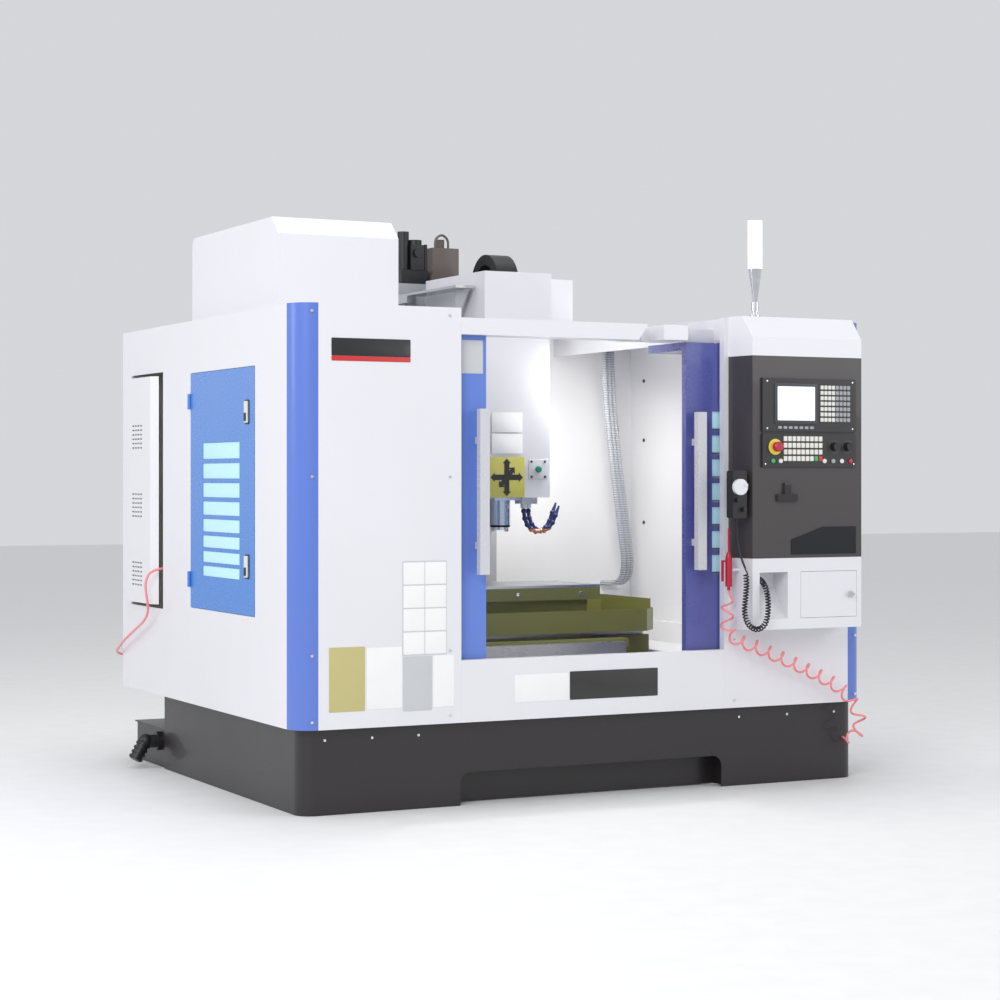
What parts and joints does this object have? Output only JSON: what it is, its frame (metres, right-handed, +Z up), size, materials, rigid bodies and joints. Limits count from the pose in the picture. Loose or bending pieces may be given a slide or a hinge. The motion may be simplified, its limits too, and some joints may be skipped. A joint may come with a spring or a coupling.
{
  "type": "vertical machining centre",
  "caption": "Enclosed vertical milling machine with sliding front doors, moving table and head, tool magazine and operator console.",
  "frame": {"origin": "centre of the machine's footprint box at floor level", "axes": "+Z up, the operator stands at -Y, +X to the operator's right as seen facing the machine"},
  "size_m": [2.4937, 2.2179, 2.204],
  "materials": {
    "white": "satin",
    "blue": "satin",
    "sky_blue": "satin",
    "deep_blue": "satin",
    "charcoal": "satin",
    "console_grey": "satin",
    "olive": "satin",
    "yellow": "satin",
    "casting": "painted",
    "steel": "ground",
    "chrome": "polished",
    "black_metal": "satin",
    "black_plastic": "matte",
    "navy": "satin",
    "pink": "gloss",
    "red": "gloss",
    "grey_plastic": "matte",
    "beige": "matte",
    "motor": "satin"
  },
  "bodies": {
    "frame": {"base_skirt": "charcoal", "bed_casting": "casting", "coolant_tank": "charcoal", "drain_spout": "steel", "guide_rails": "steel", "column_casting": "casting", "z_motor": "motor", "air_unit": "black_plastic", "shelf_bracket": "steel", "magazine_cover": "white", "left_front_panel": "white", "right_front_panel": "white", "corner_columns": "blue", "left_side_panel": "white", "electrical_cabinet": "beige", "rear_shell": "white", "inner_walls": "white", "apron": "white", "header_beam": "blue", "console_housing": "console_grey", "lower_box": "white", "operator_panel": "beige", "pendant": "beige", "air_gun": "red", "signal_tower": "chrome", "conduits": "grey_plastic", "pendant_lead": "black_plastic", "pendant_coil": "black_plastic", "air_hose": "pink", "cabinet_cable": "black_plastic"},
    "saddle_body": {"saddle": "casting", "x_rails": "steel", "saddle_cover": "steel"},
    "table_body": {"work_table": "steel", "table_tray": "olive"},
    "head_body": {"head_casting": "casting", "head_cover": "white", "spindle_cartridge": "steel", "coolant_manifold": "steel", "coolant_hoses": "navy"},
    "chain_body": {"cable_chain": "black_plastic"},
    "spindle_body": {"spindle": "chrome"},
    "y_screw_body": {"y_screw": "steel"},
    "x_screw_body": {"x_screw": "steel"},
    "z_screw_body": {"z_screw": "steel"},
    "magazine_disc_body": {"magazine_disc": "steel"},
    "change_arm_body": {"change_arm": "steel"},
    "left_door_body": {"left_door": "blue", "left_door_handle": "charcoal"},
    "right_door_body": {"right_door": "deep_blue", "right_door_handle": "charcoal"},
    "side_door_body": {"side_door": "sky_blue"},
    "cabinet_door_body": {"cabinet_door": "white"},
    "locker_door_body": {"locker_door": "white"},
    "locker_latch_body": {"locker_latch": "chrome"},
    "e_stop_body": {"e_stop": "red"},
    "feed_knob_body": {"feed_knob": "grey_plastic"},
    "spindle_knob_body": {"spindle_knob": "grey_plastic"},
    "pendant_dial_body": {"pendant_dial": "black_plastic"},
    "air_trigger_body": {"air_trigger": "red"}
  },
  "joints": [
    {"name": "y_axis", "type": "slide", "parent": "frame", "child": "saddle_body", "axis": [0, 1, 0], "range_m": [-0.231, 0.169]},
    {"name": "x_axis", "type": "slide", "parent": "saddle_body", "child": "table_body", "axis": [1, 0, 0], "range_m": [-0.325, 0.325]},
    {"name": "z_axis", "type": "slide", "parent": "frame", "child": "head_body", "axis": [0, 0, 1], "range_m": [-0.098, 0.4]},
    {"name": "chain_lift", "type": "slide", "parent": "frame", "child": "chain_body", "axis": [0, 0, 1], "range_m": [-0.049, 0.2]},
    {"name": "spindle_spin", "type": "hinge", "parent": "head_body", "child": "spindle_body", "pos_m": [0.04685, -0.0805, 1], "axis": [0, 0, 1], "continuous": true},
    {"name": "y_screw_spin", "type": "hinge", "parent": "frame", "child": "y_screw_body", "pos_m": [0.04685, 0.0135, 0.444], "axis": [0, 1, 0], "range_deg": [-7000, 5200]},
    {"name": "x_screw_spin", "type": "hinge", "parent": "saddle_body", "child": "x_screw_body", "pos_m": [0.04685, -0.0495, 0.516], "axis": [1, 0, 0], "range_deg": [-9800, 9800]},
    {"name": "z_screw_spin", "type": "hinge", "parent": "frame", "child": "z_screw_body", "pos_m": [0.04685, 0.4835, 1.5], "axis": [0, 0, 1], "range_deg": [-3000, 12100]},
    {"name": "magazine_disc_turn", "type": "hinge", "parent": "frame", "child": "magazine_disc_body", "pos_m": [-0.82315, -0.0165, 1.64], "axis": [1, 0, 0], "continuous": true},
    {"name": "change_arm_swing", "type": "hinge", "parent": "frame", "child": "change_arm_body", "pos_m": [-0.29315, -0.0165, 1.4], "axis": [0, 0, 1], "range_deg": [-20, 20]},
    {"name": "left_door_slide", "type": "slide", "parent": "frame", "child": "left_door_body", "axis": [1, 0, 0], "range_m": [0, 0.434]},
    {"name": "right_door_slide", "type": "slide", "parent": "frame", "child": "right_door_body", "axis": [1, 0, 0], "range_m": [-0.411, 0]},
    {"name": "side_door_hinge", "type": "hinge", "parent": "frame", "child": "side_door_body", "pos_m": [-1.16045, 0.2025, 1.1], "axis": [0, 0, 1], "range_deg": [-105, 0]},
    {"name": "cabinet_door_hinge", "type": "hinge", "parent": "frame", "child": "cabinet_door_body", "pos_m": [-1.16045, 0.9475, 1.1], "axis": [0, 0, 1], "range_deg": [-110, 0]},
    {"name": "locker_door_hinge", "type": "hinge", "parent": "frame", "child": "locker_door_body", "pos_m": [0.84635, -1.0265, 0.73], "axis": [0, 0, 1], "range_deg": [-110, 0]},
    {"name": "locker_latch_turn", "type": "hinge", "parent": "locker_door_body", "child": "locker_latch_body", "pos_m": [1.07285, -1.0265, 0.73], "axis": [0, 1, 0], "range_deg": [-90, 0]},
    {"name": "e_stop_push", "type": "slide", "parent": "frame", "child": "e_stop_body", "axis": [0, 1, 0], "range_m": [0, 0.004]},
    {"name": "feed_knob_turn", "type": "hinge", "parent": "frame", "child": "feed_knob_body", "pos_m": [0.99185, -1.0465, 1.295], "axis": [0, 1, 0], "range_deg": [-150, 150]},
    {"name": "spindle_knob_turn", "type": "hinge", "parent": "frame", "child": "spindle_knob_body", "pos_m": [1.05285, -1.0465, 1.295], "axis": [0, 1, 0], "range_deg": [-150, 150]},
    {"name": "pendant_dial_turn", "type": "hinge", "parent": "frame", "child": "pendant_dial_body", "pos_m": [0.57085, -0.9865, 1.142], "axis": [0, 1, 0], "continuous": true},
    {"name": "air_trigger_pull", "type": "hinge", "parent": "frame", "child": "air_trigger_body", "pos_m": [0.56, -0.9465, 0.862], "axis": [0, 1, 0], "range_deg": [-7, 0], "stiffness_Nm_per_rad": 0.4}
  ],
  "couplings": [
    {"joint": "chain_lift", "follows": "z_axis", "ratio": 0.5},
    {"joint": "y_screw_spin", "follows": "y_axis", "rad_per_m": 523.6},
    {"joint": "x_screw_spin", "follows": "x_axis", "rad_per_m": 523.6},
    {"joint": "z_screw_spin", "follows": "z_axis", "rad_per_m": 523.6}
  ]
}
